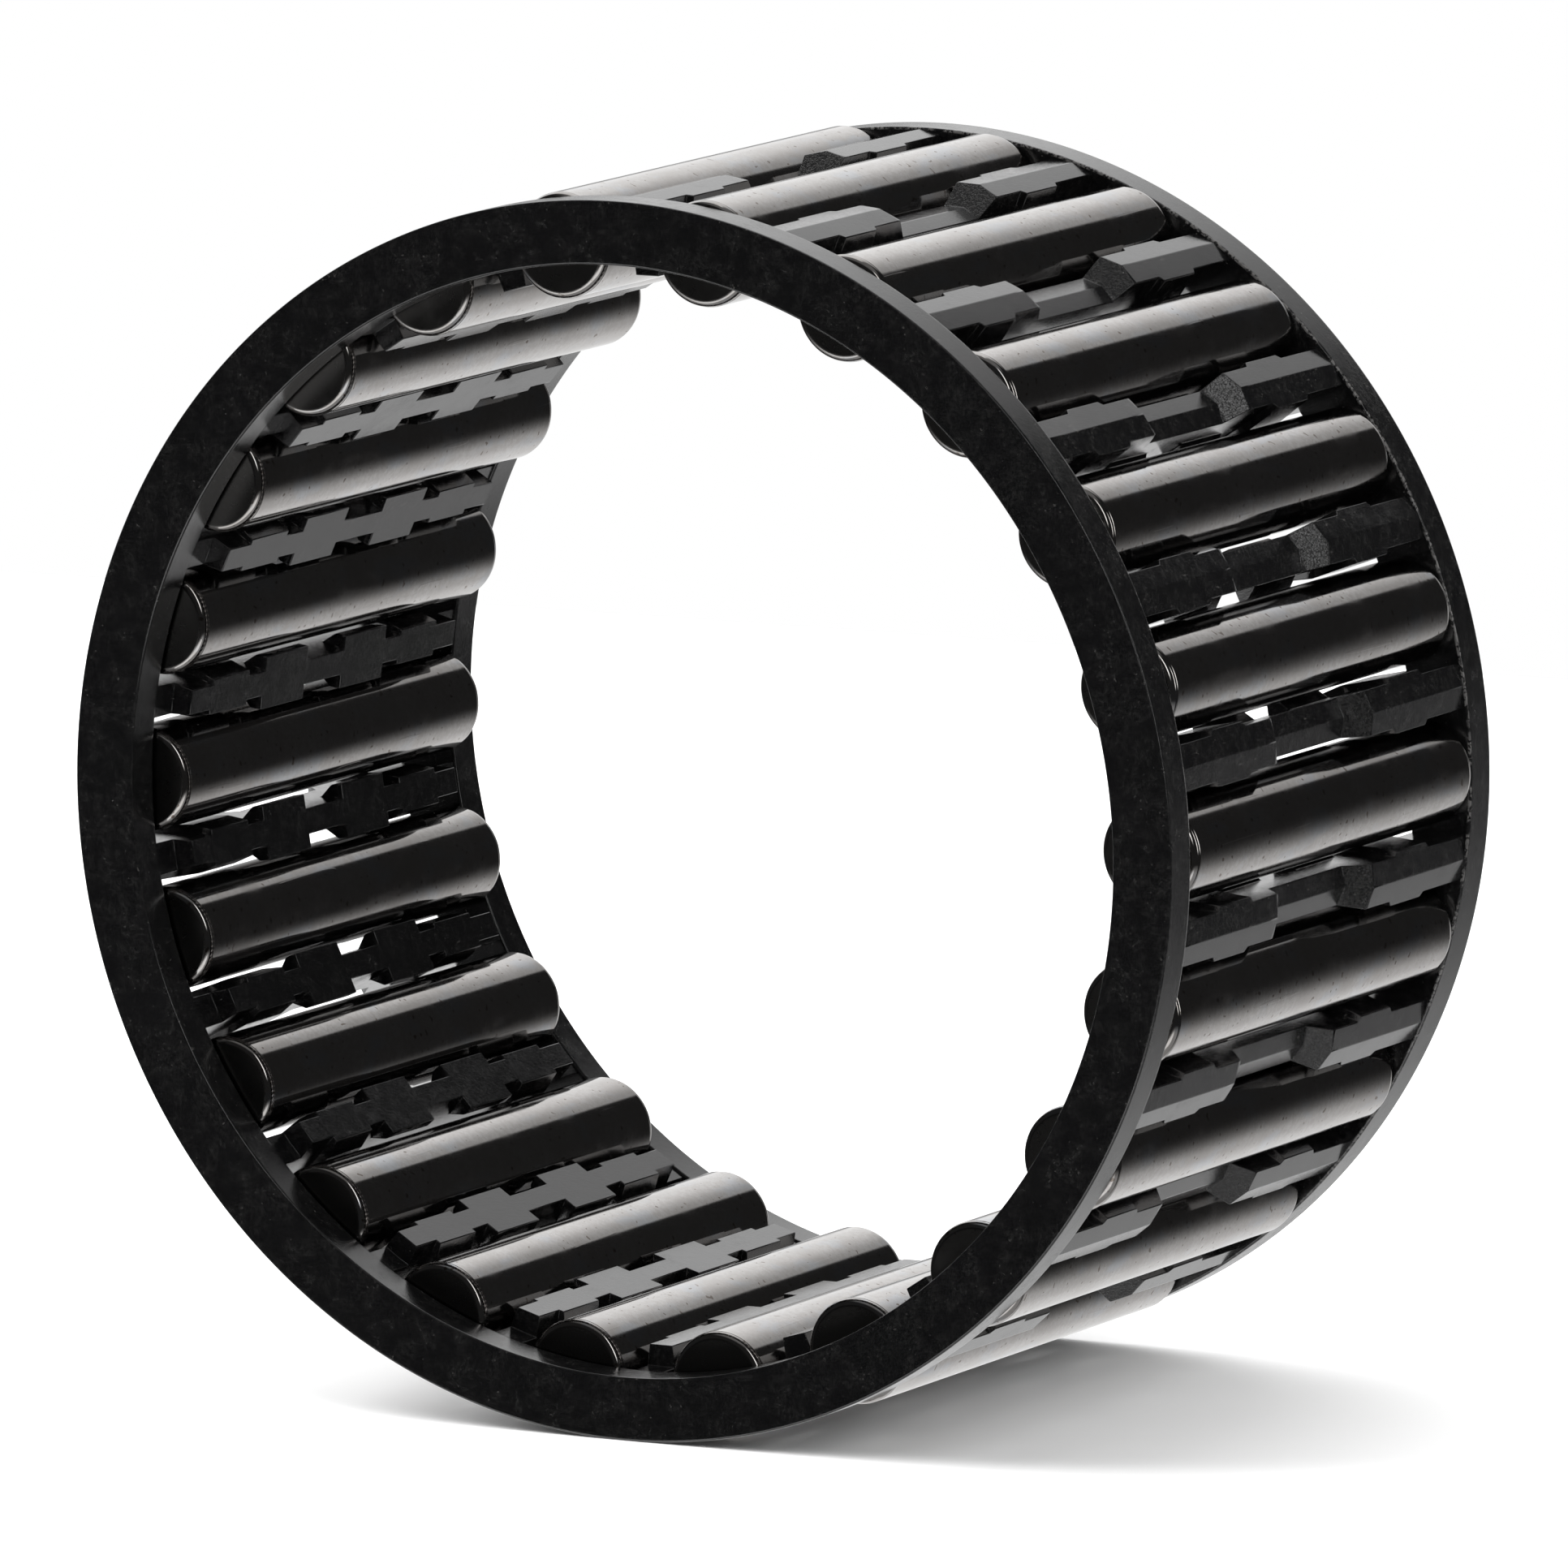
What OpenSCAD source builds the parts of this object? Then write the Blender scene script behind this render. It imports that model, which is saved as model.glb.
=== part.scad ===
// Radial roller and cage assembly: one moulded cage and a ring of long steel rollers.
// The axis of rotation is Y, Z is up, and the origin is at the middle of the assembly.
// Roller 1 lies on +X and the others follow towards +Z. All sizes are in millimetres.

/* [Rollers] */
// Number of rollers, one in each pocket of the cage
roller_count = 22; // [20:1:22]
// Diameter of a roller
roller_diameter = 7; // [6.6:0.1:7]
// Length of a roller
roller_length = 39; // [36:0.5:39.2]
// Radius of the rounded edge at both ends of a roller
roller_edge_radius = 0.5; // [0.2:0.1:1]
// Fine step down from the ground cylinder to the rounded edge
roller_edge_step = 0.02; // [0.01:0.01:0.04]
// Diameter of the circle that the rollers' centres lie on
pitch_diameter = 75; // [75:0.1:76]

/* [Cage rings] */
// Width of the whole cage along the axis
cage_width = 45.1; // [44:0.1:47]
// Outer diameter of the two end rings
ring_outer_diameter = 81.4; // [81.2:0.1:82]
// Bore diameter of the two end rings
ring_bore_diameter = 73; // [72:0.1:74]
// Thickness of an end ring along the axis
ring_thickness = 2.85; // [2:0.05:3]
// Radius of the rounded edges of an end ring
ring_edge_radius = 0.2; // [0.1:0.05:0.4]

/* [Cage bars] */
// Distance from the axis to the flat inner face of a bar
bar_face_distance = 35.2; // [35:0.1:35.6]
// Width of a bar at its inner face, where it is narrow
bar_face_width = 1.7; // [1.4:0.1:2]
// Width of a bar at its outer surface, where it is narrow
bar_back_width = 3.05; // [2.6:0.05:3.2]
// How far the ridge along a bar's back lies below the rings' outer surface
ridge_depth = 0.1; // [0.05:0.05:0.3]
// Slope of the two facets that fall away from the ridge, in degrees
roof_angle = 12; // [6:1:16]
// Length of a bar's flat foot, next to a ring, where its inner face steps outward
foot_length = 2.3; // [1.5:0.1:3]
// How far the foot's inner face lies outside the rings' bore
foot_recess = 0.15; // [0.1:0.05:0.3]

/* [Bar lugs and notches] */
// Half of the length of the low middle stretch of a bar's back
trough_half_length = 5.4; // [4:0.1:6]
// How far the low middle stretch lies below the lugs, which is also the length of its 45 degree ends
trough_depth = 1.45; // [1:0.05:1.8]
// Distance from the middle of the cage to the near side of a lug's shoulder
shoulder_start = 10; // [9:0.1:11]
// Distance from the middle of the cage to the far side of a lug's shoulder
shoulder_end = 14.75; // [13:0.05:15.5]
// Width of a shoulder at the outer surface
shoulder_back_width = 3.8; // [3.4:0.05:3.9]
// Width of a shoulder at the inner face
shoulder_face_width = 2.4; // [2:0.1:2.6]
// Width of a shoulder where it guides the rollers, a little inside their centres
shoulder_guide_width = 3.25; // [3:0.05:3.3]
// Length of the slanted ends of a shoulder
shoulder_slant = 0.35; // [0.1:0.05:0.6]
// Distance from the middle of the cage to the near side of an inner retaining block
block_start = 2.45; // [1.5:0.05:3]
// Distance from the middle of the cage to the far side of an inner retaining block
block_end = 7.95; // [7:0.05:8.5]
// Width of an inner retaining block
block_width = 3.65; // [3.2:0.05:3.7]
// Height of the straight side of an inner retaining block
block_height = 0.8; // [0.4:0.1:0.9]

/* [Hidden] */
$fn = 96;
pitch_angle = 360 / roller_count;
pitch_radius = pitch_diameter / 2;
roller_radius = roller_diameter / 2;
ring_outer_radius = ring_outer_diameter / 2;
ring_bore_radius = ring_bore_diameter / 2;
pocket_half_length = cage_width / 2 - ring_thickness;
foot_start = pocket_half_length - foot_length;
foot_distance = ring_bore_radius + foot_recess;
ridge_radius = ring_outer_radius - ridge_depth;
roof_slope = tan(roof_angle);
block_taper_end = pitch_radius - 0.3;
guide_distance = pitch_radius - 0.85;
bar_end = pocket_half_length + ring_thickness / 2;

function two_digits(i) = i < 10 ? str("0", i) : str(i);
function roller_name(i) = str("roller_", two_digits(i));

// Turns an upright solid so that its Z axis lies along Y.
module along_axis() {
    rotate([-90, 0, 0]) children();
}

// A ring's cross-section: a rectangle whose four corners are arcs.
module rounded_rectangle(width, height, radius) {
    square([width - 2 * radius, height], center = true);
    square([width, height - 2 * radius], center = true);
    for (side = [-1, 1], end = [-1, 1])
        translate([side * (width / 2 - radius), end * (height / 2 - radius)]) circle(radius);
}

// One end ring, standing on the end of the cage that the sign names.
module end_ring(end) {
    wall = ring_outer_radius - ring_bore_radius;
    along_axis()
        translate([0, 0, end * (cage_width - ring_thickness) / 2])
            rotate_extrude()
                translate([ring_bore_radius + wall / 2, 0])
                    rounded_rectangle(wall, ring_thickness, ring_edge_radius);
}

// Carries a cross-section, drawn as [across, outward], along the axis between two places.
module along_bar(from, to) {
    multmatrix([[0, 1, 0, 0], [0, 0, 1, from], [1, 0, 0, 0], [0, 0, 0, 1]])
        linear_extrude(to - from) children();
}

// Gives a side view, drawn as [along, outward], a thickness across the bar.
module across_bar(width) {
    multmatrix([[0, 1, 0, 0], [1, 0, 0, 0], [0, 0, 1, -width / 2], [0, 0, 0, 1]])
        linear_extrude(width) children();
}

// Gives an outline seen from outside, drawn as [along, across], a height outward.
module through_bar() {
    translate([bar_face_distance - 1, 0, 0])
        multmatrix([[0, 0, 1, 0], [1, 0, 0, 0], [0, 1, 0, 0], [0, 0, 0, 1]])
            linear_extrude(ring_outer_radius - bar_face_distance + 1) children();
}

// A cross-section with straight sides that widen from the inner face to the eaves of the
// lugs' roof, and on above them.
module flared_section(face_width, back_width) {
    eaves = ridge_radius - roof_slope * back_width / 2;
    flare = (back_width - face_width) / (eaves - bar_face_distance);
    top_width = face_width + flare * (ring_outer_radius - bar_face_distance);
    polygon([
        [-face_width / 2, bar_face_distance],
        [face_width / 2, bar_face_distance],
        [top_width / 2, ring_outer_radius],
        [-top_width / 2, ring_outer_radius],
    ]);
}

// The cross-section of everything below two facets that meet in a ridge.
module below_roof(top) {
    eaves = top - roof_slope * block_width;
    polygon([
        [-block_width, bar_face_distance - 1],
        [block_width, bar_face_distance - 1],
        [block_width, eaves],
        [0, top],
        [-block_width, eaves],
    ]);
}

// A shoulder's cross-section: its sides widen quickly up to the roller guides, then slowly.
module shoulder_section() {
    eaves = ridge_radius - roof_slope * shoulder_back_width / 2;
    flare = (shoulder_back_width - shoulder_guide_width) / (eaves - guide_distance);
    top_width = shoulder_guide_width + flare * (ring_outer_radius - guide_distance);
    polygon([
        [-shoulder_face_width / 2, bar_face_distance],
        [shoulder_face_width / 2, bar_face_distance],
        [shoulder_guide_width / 2, guide_distance],
        [top_width / 2, ring_outer_radius],
        [-top_width / 2, ring_outer_radius],
        [-shoulder_guide_width / 2, guide_distance],
    ]);
}

// The wide stretch of a lug, between two slanted ends.
module shoulder() {
    half = shoulder_back_width / 2;
    intersection() {
        along_bar(shoulder_start, shoulder_end) shoulder_section();
        through_bar()
            polygon([
                [shoulder_start - shoulder_slant, 0],
                [shoulder_start + shoulder_slant, half + shoulder_slant / 2],
                [shoulder_end - shoulder_slant, half + shoulder_slant / 2],
                [shoulder_end + shoulder_slant, 0],
                [shoulder_end - shoulder_slant, -half - shoulder_slant / 2],
                [shoulder_start + shoulder_slant, -half - shoulder_slant / 2],
            ]);
    }
}

// A wide block at the inner face that keeps the rollers from falling inward.
module retaining_block() {
    straight_top = bar_face_distance + block_height;
    along_bar(block_start, block_end)
        polygon([
            [-block_width / 2, bar_face_distance],
            [block_width / 2, bar_face_distance],
            [block_width / 2, straight_top],
            [bar_face_width / 2, block_taper_end],
            [-bar_face_width / 2, block_taper_end],
            [-block_width / 2, straight_top],
        ]);
}

// The space below the low roof of the middle stretch and the high roofs of the two lugs,
// each lug ending in a 45 degree slope.
module below_bar_back() {
    lug_top_start = trough_half_length + trough_depth;
    drop = ridge_radius - bar_face_distance;
    along_bar(-bar_end, bar_end) below_roof(ridge_radius - trough_depth);
    for (side = [0, 1]) mirror([0, side, 0])
        intersection() {
            along_bar(0, bar_end) below_roof(ridge_radius);
            across_bar(2 * block_width)
                polygon([
                    [lug_top_start - drop, bar_face_distance],
                    [bar_end, bar_face_distance],
                    [bar_end, ridge_radius],
                    [lug_top_start, ridge_radius],
                ]);
        }
}

// The space outside a bar's flat inner face and outside the recessed face of its feet.
module outside_bar_face() {
    across_bar(2 * block_width)
        polygon([
            [-bar_end, foot_distance],
            [-foot_start, foot_distance],
            [-foot_start, bar_face_distance],
            [foot_start, bar_face_distance],
            [foot_start, foot_distance],
            [bar_end, foot_distance],
            [bar_end, ring_outer_radius],
            [-bar_end, ring_outer_radius],
        ]);
}

// One bar of the cage, at angle zero, between two pockets.
module bar() {
    intersection() {
        union() {
            along_bar(-bar_end, bar_end) flared_section(bar_face_width, bar_back_width);
            for (side = [0, 1]) mirror([0, side, 0]) {
                shoulder();
                retaining_block();
            }
        }
        below_bar_back();
        outside_bar_face();
    }
}

// The moulded cage: two rings joined by one bar between each pair of rollers.
module cage() {
    color([0.035, 0.035, 0.038]) {
        end_ring(-1);
        end_ring(1);
        for (i = [1:roller_count])
            rotate([0, -(i - 0.5) * pitch_angle, 0]) bar();
    }
}

// Half of a roller's lengthwise section: a bar whose corners are arcs, set in by a fine step.
module roller_section() {
    half_length = roller_length / 2;
    straight = half_length - roller_edge_radius;
    end_radius = roller_radius - roller_edge_step;
    flat_radius = end_radius - roller_edge_radius;
    translate([0, -straight]) square([roller_radius, 2 * straight]);
    translate([0, -half_length]) square([flat_radius, roller_length]);
    intersection() {
        translate([0, -half_length]) square([end_radius, roller_length]);
        for (end = [-1, 1]) translate([flat_radius, end * straight]) circle(roller_edge_radius);
    }
}

// One roller in its pocket, free to turn about its own axis.
module roller(i) {
    rotate([0, -(i - 1) * pitch_angle, 0])
        translate([pitch_radius, 0, 0])
            color([0.72, 0.72, 0.74])
                along_axis() rotate_extrude() roller_section();
}

cage();
for (i = [1:roller_count])
    roller(i);
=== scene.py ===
"""Looks of a radial roller and cage assembly: a moulded black cage that carries polished steel rollers.

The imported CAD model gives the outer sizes, the pitch circle and the bodies. The visible pieces are finer
surfaces of the same sizes: two rings with rounded edges, one bar between each pair of pockets, and rollers
with their true edge profile. The axis of rotation is Y and Z is up.
"""

import logging
import math
from dataclasses import dataclass
from enum import Enum
from functools import reduce
from typing import Callable

import bmesh
import bpy
import numpy as np
from mathutils import Matrix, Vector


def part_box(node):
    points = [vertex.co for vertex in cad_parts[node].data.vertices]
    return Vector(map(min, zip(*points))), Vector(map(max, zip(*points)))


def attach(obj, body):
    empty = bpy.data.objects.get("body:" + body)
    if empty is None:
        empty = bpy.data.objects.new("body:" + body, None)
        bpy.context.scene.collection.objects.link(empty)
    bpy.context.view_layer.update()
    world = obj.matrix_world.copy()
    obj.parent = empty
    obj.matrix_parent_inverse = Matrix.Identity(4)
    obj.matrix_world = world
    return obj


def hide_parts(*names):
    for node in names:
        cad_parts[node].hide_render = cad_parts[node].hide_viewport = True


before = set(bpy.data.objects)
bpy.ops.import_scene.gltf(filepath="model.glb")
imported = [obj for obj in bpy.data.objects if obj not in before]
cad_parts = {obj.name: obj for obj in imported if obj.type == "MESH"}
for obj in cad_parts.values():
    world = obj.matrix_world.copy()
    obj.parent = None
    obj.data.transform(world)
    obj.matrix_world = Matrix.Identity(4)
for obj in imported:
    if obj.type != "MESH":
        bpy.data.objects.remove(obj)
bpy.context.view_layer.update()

MM = 0.001
MERGE_DISTANCE = 1e-7
FLAT_FACE_WEIGHT = 80
CAGE_BODY = "cage"
GRAIN_ATTRIBUTE = "coarse_grain"
LOG = logging.getLogger("roller_and_cage")

Socket = bpy.types.NodeSocket
Pair = tuple[float, float]
Triple = tuple[float, float, float]
Colour = tuple[float, float, float, float]


# --- Sizes ---


@dataclass(frozen=True)
class BearingSizes:
    """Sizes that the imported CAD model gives, in metres."""

    ring_outer_radius: float
    half_width: float
    roller_radius: float
    roller_half_length: float
    pitch_radius: float
    roller_count: int

    @classmethod
    def from_frame(cls) -> "BearingSizes":
        """Reads the sizes off the boxes of the cage and of the roller that lies on +X.

        Returns:
            The sizes.
        """
        _, cage_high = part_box("cage")
        roller_low, roller_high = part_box("roller_01")
        return cls(
            ring_outer_radius=cage_high[2],
            half_width=cage_high[1],
            roller_radius=(roller_high[0] - roller_low[0]) / 2,
            roller_half_length=roller_high[1],
            pitch_radius=(roller_high[0] + roller_low[0]) / 2,
            roller_count=sum(name.startswith("roller_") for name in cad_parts),
        )

    def angle(self, place: float) -> float:
        """Angle in radians of a place counted in rollers from +X towards +Z."""
        return 2 * math.pi * place / self.roller_count


# --- Meshes ---


def turned_about_axis(points: np.ndarray, angle: float) -> np.ndarray:
    """Turns points about the Y axis, from +X towards +Z.

    Args:
        points: Array of shape (..., 3).
        angle: The turn in radians.

    Returns:
        x cos - z sin, y, x sin + z cos for every point.
    """
    x, y, z = np.moveaxis(points, -1, 0)
    c, s = math.cos(angle), math.sin(angle)
    return np.stack([x * c - z * s, y, x * s + z * c], axis=-1)


def loop_faces(rows: int, columns: int, closed_rows: bool) -> np.ndarray:
    """Quads of a grid whose columns close on themselves.

    Args:
        rows: Number of stations along the piece.
        columns: Number of points round each station.
        closed_rows: Whether the last station joins the first.

    Returns:
        Array of shape (quads, 4) of vertex numbers.
    """
    r, c = np.meshgrid(np.arange(rows if closed_rows else rows - 1), np.arange(columns), indexing="ij")
    r_next, c_next = (r + 1) % rows, (c + 1) % columns
    corners = [r * columns + c, r * columns + c_next, r_next * columns + c_next, r_next * columns + c]
    return np.stack(corners, axis=-1).reshape(-1, 4)


def mesh_piece(name: str, points: np.ndarray, faces: list, smooth: bool) -> bpy.types.Object:
    """Makes a clean closed mesh object from a grid of points.

    Points that coincide are merged, so that a pole or a step is closed, and normals are made to point out.

    Args:
        name: Name of the new object.
        points: Array of shape (n, 3), in metres.
        faces: Faces as lists of vertex numbers.
        smooth: Whether the faces are shaded smooth.

    Returns:
        The new object, linked to the scene.
    """
    mesh = bpy.data.meshes.new(name)
    mesh.from_pydata(points.tolist(), [], faces)
    bm = bmesh.new()
    bm.from_mesh(mesh)
    bmesh.ops.remove_doubles(bm, verts=bm.verts, dist=MERGE_DISTANCE)
    bmesh.ops.recalc_face_normals(bm, faces=bm.faces)
    bm.to_mesh(mesh)
    bm.free()
    mesh.polygons.foreach_set("use_smooth", np.full(len(mesh.polygons), smooth))
    piece = bpy.data.objects.new(name, mesh)
    bpy.context.scene.collection.objects.link(piece)
    return piece


def turned_piece(name: str, profile: np.ndarray, segments: int, centre: np.ndarray) -> bpy.types.Object:
    """A surface of revolution about a line parallel to Y.

    A profile point (r, y) at turn t lies at centre + (r cos t, y, r sin t). A closed profile gives a ring,
    and a profile that starts and ends at r = 0 gives a solid with closed poles.

    Args:
        name: Name of the new object.
        profile: Array of shape (n, 2) with the distance from the line and the place along it.
        segments: Number of steps in a full turn.
        centre: A point on the line.

    Returns:
        The new object.
    """
    turn = np.linspace(0, 2 * math.pi, segments, endpoint=False)[:, None]
    radius, along = profile[:, 0][None], profile[:, 1][None]
    points = np.stack([radius * np.cos(turn), along + 0 * turn, radius * np.sin(turn)], axis=-1)
    poles = np.isclose(profile[[0, -1], 0], 0).all()
    faces = loop_faces(segments, len(profile), closed_rows=True)
    if poles:
        faces = faces[faces[:, 0] % len(profile) < len(profile) - 1]
    return mesh_piece(name, points.reshape(-1, 3) + centre, faces.tolist(), smooth=True)


def arc(centre: Pair, radius: float, start: float, end: float, steps: int) -> np.ndarray:
    """Points of a circular arc: centre + radius (cos a, sin a), with a from start to end."""
    angle = np.radians(np.linspace(start, end, steps + 1))[:, None]
    return np.array(centre) + radius * np.concatenate([np.cos(angle), np.sin(angle)], axis=1)


def facing(place: np.ndarray, right: np.ndarray, above: np.ndarray, back: np.ndarray) -> Matrix:
    """The matrix that stands a camera or lamp somewhere, looking away from its back.

    Args:
        place: Where it stands.
        right: The direction to its right.
        above: The direction up from it.
        back: The direction behind it.

    Returns:
        The matrix, with the directions and the place as its columns.
    """
    columns = np.eye(4)
    columns[:3, 0], columns[:3, 1], columns[:3, 2], columns[:3, 3] = right, above, back, place
    return Matrix(columns.tolist())


def add_bevel(piece: bpy.types.Object, width: float, segments: int, angle_degrees: float) -> None:
    """Rounds the edges that are sharper than an angle and keeps the flats flat.

    Args:
        piece: The object.
        width: Width of the rounding in metres.
        segments: Steps across it.
        angle_degrees: The smallest angle between two faces that is rounded.
    """
    bevel = piece.modifiers.new("rounded_edges", "BEVEL")
    bevel.width = width
    bevel.segments = segments
    bevel.limit_method = "ANGLE"
    bevel.angle_limit = math.radians(angle_degrees)
    flats = piece.modifiers.new("flat_faces", "WEIGHTED_NORMAL")
    flats.weight = FLAT_FACE_WEIGHT


# --- Shader building ---


class MathStep(Enum):
    """The sums a sheet can do, with the names Math nodes have for them."""

    ADD = "ADD"
    SUBTRACT = "SUBTRACT"
    MULTIPLY = "MULTIPLY"
    LARGEST = "MAXIMUM"
    ABSOLUTE = "ABSOLUTE"
    SQUARE_ROOT = "SQRT"
    BEARING = "ARCTAN2"


class NodeSheet:
    """A short way to place and wire nodes in one node tree."""

    def __init__(self, tree: bpy.types.NodeTree) -> None:
        """Keeps the tree that the nodes go in."""
        self.tree = tree

    def node(self, kind: str, **settings: object) -> bpy.types.Node:
        """Adds a node and sets its properties.

        Args:
            kind: Type name of the node.
            **settings: Properties of the node.

        Returns:
            The new node.
        """
        made = self.tree.nodes.new(kind)
        for key, value in settings.items():
            setattr(made, key, value)
        return made

    def feed(self, socket: Socket, value: object) -> None:
        """Links a socket to an output, or sets its value.

        Args:
            socket: The input to feed.
            value: Another node's output, or a plain value.
        """
        if isinstance(value, Socket):
            self.tree.links.new(value, socket)
        else:
            socket.default_value = value

    def math(self, step: MathStep, first: object, second: object = 0.0) -> Socket:
        """One sum of two numbers or outputs.

        Args:
            step: Which sum.
            first: The first value.
            second: The second value, if the sum takes one.

        Returns:
            The result's output.
        """
        made = self.node("ShaderNodeMath", operation=step.value)
        self.feed(made.inputs[0], first)
        self.feed(made.inputs[1], second)
        return made.outputs[0]

    def add(self, *values: object) -> Socket:
        """The sum of two or more numbers or outputs."""
        return reduce(lambda first, second: self.math(MathStep.ADD, first, second), values)

    def times(self, *values: object) -> Socket:
        """The product of two or more numbers or outputs."""
        return reduce(lambda first, second: self.math(MathStep.MULTIPLY, first, second), values)

    def largest(self, *values: object) -> Socket:
        """The largest of two or more numbers or outputs."""
        return reduce(lambda first, second: self.math(MathStep.LARGEST, first, second), values)

    def parts(self, vector: Socket) -> list[Socket]:
        """Splits a vector.

        Args:
            vector: The vector's output.

        Returns:
            Its x, y and z outputs.
        """
        made = self.node("ShaderNodeSeparateXYZ")
        self.feed(made.inputs[0], vector)
        return list(made.outputs)

    def ramp(self, value: object, low: float, high: float, to_low: float = 0.0,
             to_high: float = 1.0) -> Socket:
        """A smooth step of a value from one range to another.

        Args:
            value: What is stepped.
            low: Where the step starts. It may be the larger of the two.
            high: Where the step ends.
            to_low: The result at the start and beyond.
            to_high: The result at the end and beyond.

        Returns:
            The result's output.
        """
        made = self.node("ShaderNodeMapRange", interpolation_type="SMOOTHSTEP", clamp=True)
        for name, number in (("From Min", low), ("From Max", high), ("To Min", to_low), ("To Max", to_high)):
            made.inputs[name].default_value = number
        self.feed(made.inputs["Value"], value)
        return made.outputs["Result"]

    def blend(self, share: object, first: object, second: object) -> Socket:
        """A colour between two others.

        Args:
            share: 0 gives the first colour and 1 the second.
            first: A colour or an output.
            second: A colour or an output.

        Returns:
            The blended colour's output.
        """
        made = self.node("ShaderNodeMix", data_type="RGBA")
        for number, value in ((0, share), (6, first), (7, second)):
            self.feed(made.inputs[number], value)
        return made.outputs[2]

    def own_place(self, stretch: Triple = (1, 1, 1), turn: Triple = (0, 0, 0)) -> Socket:
        """The piece's own Object coordinates, in millimetres.

        Args:
            stretch: How many times finer a pattern gets along x, y and z.
            turn: How far the pattern is turned about x, y and z, in radians.

        Returns:
            The place's output.
        """
        made = self.node("ShaderNodeMapping")
        made.inputs["Scale"].default_value = [s / MM for s in stretch]
        made.inputs["Rotation"].default_value = turn
        self.feed(made.inputs["Vector"], self.node("ShaderNodeTexCoord").outputs["Object"])
        return made.outputs["Vector"]

    def noise(self, place: object, scale: float, detail: float = 2.0, roughness: float = 0.5) -> Socket:
        """A noise pattern.

        Args:
            place: Where it is read, in millimetres.
            scale: Features per millimetre.
            detail: How many finer layers it has.
            roughness: How strong each finer layer is.

        Returns:
            The pattern's output, about 0.5 on average.
        """
        made = self.node("ShaderNodeTexNoise")
        for name, value in (("Scale", scale), ("Detail", detail), ("Roughness", roughness)):
            made.inputs[name].default_value = value
        self.feed(made.inputs["Vector"], place)
        return made.outputs["Fac"]

    def bump(self, height: object, strength: float, depth_mm: float) -> Socket:
        """A surface normal that follows a height.

        Args:
            height: The height's output.
            strength: How much of the relief shows.
            depth_mm: Millimetres of relief for a height of 1.

        Returns:
            The normal's output.
        """
        made = self.node("ShaderNodeBump")
        made.inputs["Strength"].default_value = strength
        made.inputs["Distance"].default_value = depth_mm * MM
        self.feed(made.inputs["Height"], height)
        return made.outputs["Normal"]


def shared_effect(name: str, inputs: dict[str, float], outputs: list[str],
                  fill: Callable[[NodeSheet, dict, dict], None]) -> bpy.types.NodeTree:
    """Builds a node group with named number inputs and outputs.

    Args:
        name: Name of the group.
        inputs: Input names with their default values.
        outputs: Output names.
        fill: Gets the sheet, the inputs' sockets and the outputs' sockets, and wires the group.

    Returns:
        The new group.
    """
    group = bpy.data.node_groups.new(name, "ShaderNodeTree")
    for key, value in inputs.items():
        group.interface.new_socket(key, in_out="INPUT", socket_type="NodeSocketFloat").default_value = value
    for key in outputs:
        group.interface.new_socket(key, in_out="OUTPUT", socket_type="NodeSocketFloat")
    sheet = NodeSheet(group)
    source, sink = sheet.node("NodeGroupInput"), sheet.node("NodeGroupOutput")
    fill(sheet, dict(source.outputs.items()), dict(sink.inputs.items()))
    return group


def place_effect(sheet: NodeSheet, group: bpy.types.NodeTree, **values: float) -> dict[str, Socket]:
    """Places a shared effect in a material.

    Args:
        sheet: The material's sheet.
        group: The effect.
        **values: Its inputs, with underscores for the spaces in their names.

    Returns:
        The effect's outputs by name.
    """
    made = sheet.node("ShaderNodeGroup", node_tree=group)
    for key, value in values.items():
        sheet.feed(made.inputs[key.replace("_", " ").capitalize()], value)
    return dict(made.outputs.items())


def fill_handling_marks(sheet: NodeSheet, given: dict, made: dict) -> None:
    """Wires cloudy smudges and sparse pale dust specks, as handling leaves on any surface.

    Smudge is a soft cloud pattern above a level. Dust is the peaks of a fine noise, thinned out by a
    coarse one.

    Args:
        sheet: The group's sheet.
        given: The group's inputs, an amount for each mark.
        made: The sockets that take the two masks.
    """
    place = sheet.own_place()
    cloud = sheet.noise(place, 0.16, detail=3.0, roughness=0.6)
    wisps = sheet.noise(sheet.own_place(stretch=(1, 0.35, 1), turn=(0.4, 0.2, 0.7)), 0.9, detail=4.0)
    smudge = sheet.times(sheet.ramp(cloud, 0.45, 0.68), sheet.ramp(wisps, 0.35, 0.65))
    peaks = sheet.ramp(sheet.noise(place, 5.5, detail=1.0), 0.73, 0.77)
    patches = sheet.ramp(sheet.noise(place, 0.5), 0.42, 0.6)
    sheet.feed(made["Smudge"], sheet.times(smudge, given["Smudge amount"]))
    sheet.feed(made["Dust"], sheet.times(peaks, patches, given["Dust amount"]))


class SharedEffects:
    """The node groups that more than one finish uses."""

    def __init__(self) -> None:
        """Builds each group once."""
        self.handling_marks = shared_effect(
            "handling_marks", {"Smudge amount": 1.0, "Dust amount": 1.0}, ["Smudge", "Dust"],
            fill_handling_marks)


def new_material(name: str) -> tuple[bpy.types.Material, NodeSheet, bpy.types.Node]:
    """Makes an empty material.

    Args:
        name: Its name.

    Returns:
        The material, its sheet and its Principled shader.
    """
    material = bpy.data.materials.new(name)
    material.use_nodes = True
    shader = material.node_tree.nodes["Principled BSDF"]
    return material, NodeSheet(material.node_tree), shader


# --- Finishes ---


class Skin(Enum):
    """The two kinds of moulded surface on the cage."""

    RING = "ring"
    BAR = "bar"


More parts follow.
